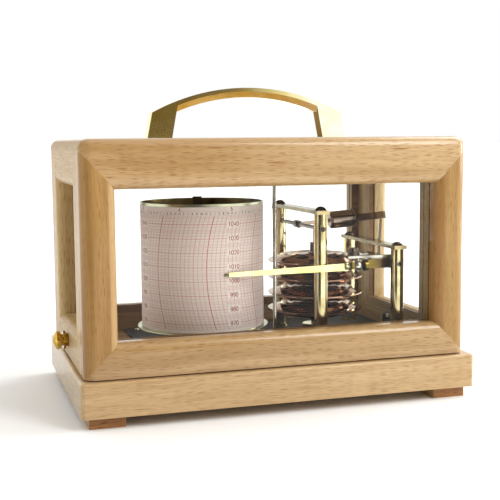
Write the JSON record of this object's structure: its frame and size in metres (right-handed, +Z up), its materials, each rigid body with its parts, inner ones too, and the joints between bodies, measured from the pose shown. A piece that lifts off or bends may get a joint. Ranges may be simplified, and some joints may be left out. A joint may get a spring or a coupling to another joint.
{
  "type": "barograph",
  "caption": "Recording aneroid barometer: chart drum, pressure capsules and pen arm on a wooden base, under a glazed lift-off wooden cover with an arched brass handle.",
  "frame": {"origin": "middle of the underside of the feet", "axes": "+Z up, +X to the right of the window side, window side facing -Y"},
  "size_m": [0.3024, 0.184, 0.2297],
  "materials": {
    "beech": "clear varnish",
    "foot_wood": "varnish",
    "felt": "matt",
    "black_plate": "gloss",
    "polished_brass": "polished",
    "satin_brass": "satin",
    "dull_brass": "brushed",
    "steel": "turned",
    "dark_steel": "browned",
    "chrome": "polished",
    "copper": "polished copper alloy",
    "drum_metal": "satin",
    "paper": "printed grid",
    "glass": "clear",
    "bead_wood": "varnish",
    "nib_black": "matt"
  },
  "bodies": {
    "base": {"base_board": "beech", "feet": "foot_wood", "floor_panel": "beech", "felt_strip": "felt", "mechanism_plate": "black_plate", "plate_screws": "steel", "cover_forks": "satin_brass", "drum_spindle": "steel", "fixed_wheel": "satin_brass", "capsule_stud": "steel", "capsule_1": "copper", "lever_posts": "satin_brass", "lever_bar": "satin_brass", "lever_pivots": "dark_steel", "pen_posts": "satin_brass", "pen_bar": "satin_brass", "pen_pivots": "dark_steel", "bar_screws": "dark_steel", "lifter_bush": "satin_brass"},
    "cover": {"top_board": "beech", "front_rails": "beech", "front_stiles": "beech", "rear_rails": "beech", "rear_stiles": "beech", "side_rails": "beech", "side_stiles": "beech", "glass_front": "glass", "glass_rear": "glass", "glass_sides": "glass", "glazing_beads": "bead_wood", "handle": "satin_brass", "handle_screws": "dull_brass"},
    "left_knob": {"knob_left": "polished_brass"},
    "right_knob": {"knob_right": "polished_brass"},
    "drum": {"drum_can": "drum_metal", "chart_paper": "paper", "chart_clip": "dark_steel", "clock_case": "dull_brass"},
    "pinion": {"drive_pinion": "steel"},
    "drum_nut": {"spindle_nut": "polished_brass"},
    "key": {"winding_key": "satin_brass"},
    "setting_nut": {"adjusting_nut": "satin_brass"},
    "second_capsule": {"capsule_2": "copper"},
    "third_capsule": {"capsule_3": "copper"},
    "top_capsule": {"capsule_4": "copper"},
    "stem": {"capsule_stem": "dark_steel"},
    "first_lever": {"lever_arbor": "steel", "lever_arm": "dark_steel", "lever_strip": "steel", "steel_cylinder": "dark_steel"},
    "link": {"link_rod": "steel"},
    "pen_shaft": {"pen_arbor": "steel", "crank_fork": "steel", "arm_carrier": "satin_brass", "gate_bar": "steel"},
    "gate_screw": {"gate_nut": "steel"},
    "pen": {"gate_ball": "chrome", "pen_arm": "polished_brass", "pen_nib": "nib_black"},
    "lifter": {"lifter_rod": "steel"}
  },
  "joints": [
    {"name": "cover_lift", "type": "slide", "parent": "base", "child": "cover", "axis": [0, 0, 1], "range_m": [0, 0.16]},
    {"name": "left_knob_turn", "type": "hinge", "parent": "cover", "child": "left_knob", "pos_m": [-0.14, 0, 0.0448], "axis": [1, 0, 0], "continuous": true},
    {"name": "right_knob_turn", "type": "hinge", "parent": "cover", "child": "right_knob", "pos_m": [0.14, 0, 0.0448], "axis": [1, 0, 0], "continuous": true},
    {"name": "drum_turn", "type": "hinge", "parent": "base", "child": "drum", "pos_m": [-0.0379, -0.005, 0.05], "axis": [0, 0, 1], "continuous": true},
    {"name": "pinion_turn", "type": "hinge", "parent": "drum", "child": "pinion", "pos_m": [-0.01465, -0.005, 0.045], "axis": [0, 0, 1], "continuous": true},
    {"name": "drum_nut_turn", "type": "hinge", "parent": "base", "child": "drum_nut", "pos_m": [-0.0379, -0.005, 0.086], "axis": [0, 0, 1], "continuous": true},
    {"name": "key_turn", "type": "hinge", "parent": "drum", "child": "key", "pos_m": [-0.0379, 0.014, 0.085], "axis": [0, 0, 1], "continuous": true},
    {"name": "setting_nut_turn", "type": "hinge", "parent": "base", "child": "setting_nut", "pos_m": [0.0551, 0, 0.043], "axis": [0, 0, 1], "continuous": true},
    {"name": "pen_turn", "type": "hinge", "parent": "base", "child": "pen_shaft", "pos_m": [0.1028, 0, 0.0966], "axis": [0, 1, 0], "range_deg": [-15, 16.5], "stiffness_Nm_per_rad": 0.05},
    {"name": "first_lever_turn", "type": "hinge", "parent": "base", "child": "first_lever", "pos_m": [0.0408, 0, 0.1248], "axis": [0, 1, 0], "range_deg": [-2, 2]},
    {"name": "link_turn", "type": "hinge", "parent": "first_lever", "child": "link", "pos_m": [0.1119, 0, 0.1287], "axis": [0, 1, 0], "range_deg": [-2, 2]},
    {"name": "stem_slide", "type": "slide", "parent": "base", "child": "stem", "axis": [0, 0, 1], "range_m": [-0.0005, 0.0005]},
    {"name": "top_capsule_slide", "type": "slide", "parent": "base", "child": "top_capsule", "axis": [0, 0, 1], "range_m": [-0.0004, 0.0004]},
    {"name": "third_capsule_slide", "type": "slide", "parent": "base", "child": "third_capsule", "axis": [0, 0, 1], "range_m": [-0.0003, 0.0003]},
    {"name": "second_capsule_slide", "type": "slide", "parent": "base", "child": "second_capsule", "axis": [0, 0, 1], "range_m": [-0.00015, 0.00015]},
    {"name": "gate_screw_turn", "type": "hinge", "parent": "pen_shaft", "child": "gate_screw", "pos_m": [0.0713, -0.04, 0.104], "axis": [0, 0, 1], "continuous": true},
    {"name": "lifter_turn", "type": "hinge", "parent": "base", "child": "lifter", "pos_m": [0.0167, -0.0505, 0.04], "axis": [0, 0, 1], "range_deg": [0, 50]},
    {"name": "pen_gate_turn", "type": "hinge", "parent": "pen_shaft", "child": "pen", "pos_m": [0.0748, -0.04, 0.095], "axis": [0, 0, 1], "range_deg": [0, 8]}
  ],
  "couplings": [
    {"joint": "pinion_turn", "follows": "drum_turn", "ratio": 4.8},
    {"joint": "first_lever_turn", "follows": "pen_turn", "ratio": 0.098},
    {"joint": "link_turn", "follows": "pen_turn", "ratio": -0.0893},
    {"joint": "stem_slide", "follows": "pen_turn", "m_per_rad": -0.0014},
    {"joint": "top_capsule_slide", "follows": "pen_turn", "m_per_rad": -0.00105},
    {"joint": "third_capsule_slide", "follows": "pen_turn", "m_per_rad": -0.0007},
    {"joint": "second_capsule_slide", "follows": "pen_turn", "m_per_rad": -0.00035},
    {"joint": "pen_gate_turn", "follows": "lifter_turn", "ratio": 0.15}
  ]
}
